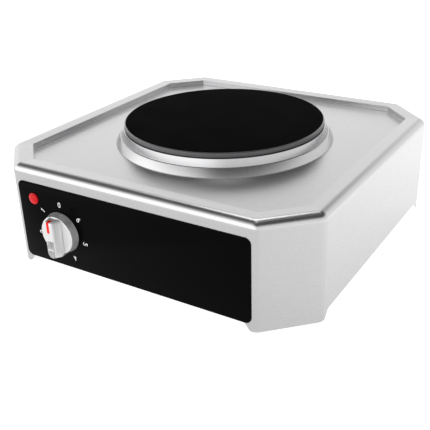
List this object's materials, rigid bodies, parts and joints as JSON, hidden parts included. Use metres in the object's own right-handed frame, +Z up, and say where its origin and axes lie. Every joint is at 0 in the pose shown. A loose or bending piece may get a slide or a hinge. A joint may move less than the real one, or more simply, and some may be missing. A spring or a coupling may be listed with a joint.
{
  "type": "hot plate burner",
  "caption": "Countertop electric hot plate: round cast-iron plate with spill ring in a square stainless housing with chamfered corners, front control panel, turning knob and pilot lamp.",
  "frame": {"origin": "bottom centre of the whole part, on the plane the rubber feet stand on", "axes": "X to the right seen from the front, Y from the control panel to the back, Z up"},
  "size_m": [0.37, 0.4106, 0.128],
  "materials": {
    "stainless": "satin brushed",
    "galvanised": "dull galvanised",
    "rubber": "matte",
    "screw_steel": "zinc plated",
    "iron": "matte black fine grain",
    "ceramic_fill": "matte",
    "coil_sheath": "heat darkened",
    "white_ceramic": "glazed",
    "brass": "bright",
    "panel_black": "semi gloss film",
    "knob_grey": "satin silver",
    "pointer_red": "gloss",
    "switch_body": "moulded",
    "cam_white": "moulded",
    "lens_red": "translucent",
    "bulb_glass": "clear",
    "black_plastic": "moulded",
    "wire_brown": "sleeved",
    "wire_blue": "sleeved",
    "wire_green_yellow": "sleeved",
    "wire_white": "braided glass sleeve",
    "label_foil": "matte foil"
  },
  "bodies": {
    "base": {"housing": "stainless", "base_cover": "galvanised", "bracket_back_right": "galvanised", "bracket_back_left": "galvanised", "bracket_front_left": "galvanised", "bracket_front_right": "galvanised", "foot_back_right": "rubber", "foot_back_left": "rubber", "foot_front_left": "rubber", "foot_front_right": "rubber", "foot_screws": "screw_steel", "hotplate_disc": "iron", "insulation": "ceramic_fill", "coil_inner": "coil_sheath", "coil_middle": "coil_sheath", "coil_outer": "coil_sheath", "coil_leads": "coil_sheath", "pan": "galvanised", "spill_ring": "stainless", "clamp_stud": "screw_steel", "clamp_bar": "galvanised", "clamp_washer": "screw_steel", "clamp_nut": "screw_steel", "plate_terminal": "white_ceramic", "plate_pins": "brass", "control_panel": "panel_black", "switch_case": "switch_body", "switch_plate": "galvanised", "switch_screws": "screw_steel", "switch_contacts": "brass", "switch_tabs": "brass", "pilot_lens": "lens_red", "pilot_barrel": "black_plastic", "pilot_clip": "screw_steel", "neon_lamp": "bulb_glass", "pilot_wires": "wire_blue", "gland_body": "black_plastic", "gland_locknut": "black_plastic", "gland_seal": "rubber", "gland_cap": "black_plastic", "mains_block": "white_ceramic", "mains_sleeves": "brass", "mains_screws": "screw_steel", "supply_live": "wire_brown", "supply_neutral": "wire_blue", "supply_earth": "wire_green_yellow", "plate_earth": "wire_green_yellow", "earth_stud": "screw_steel", "earth_nut": "screw_steel", "plate_wires": "wire_white", "rating_plate": "label_foil"},
    "knob": {"knob_body": "knob_grey", "knob_pointer": "pointer_red", "knob_spring": "screw_steel", "switch_shaft": "screw_steel", "switch_cam": "cam_white"}
  },
  "joints": [
    {"name": "knob_turn", "type": "hinge", "parent": "base", "child": "knob", "pos_m": [-0.082, -0.185, 0.049], "axis": [0, -1, 0], "continuous": true}
  ]
}
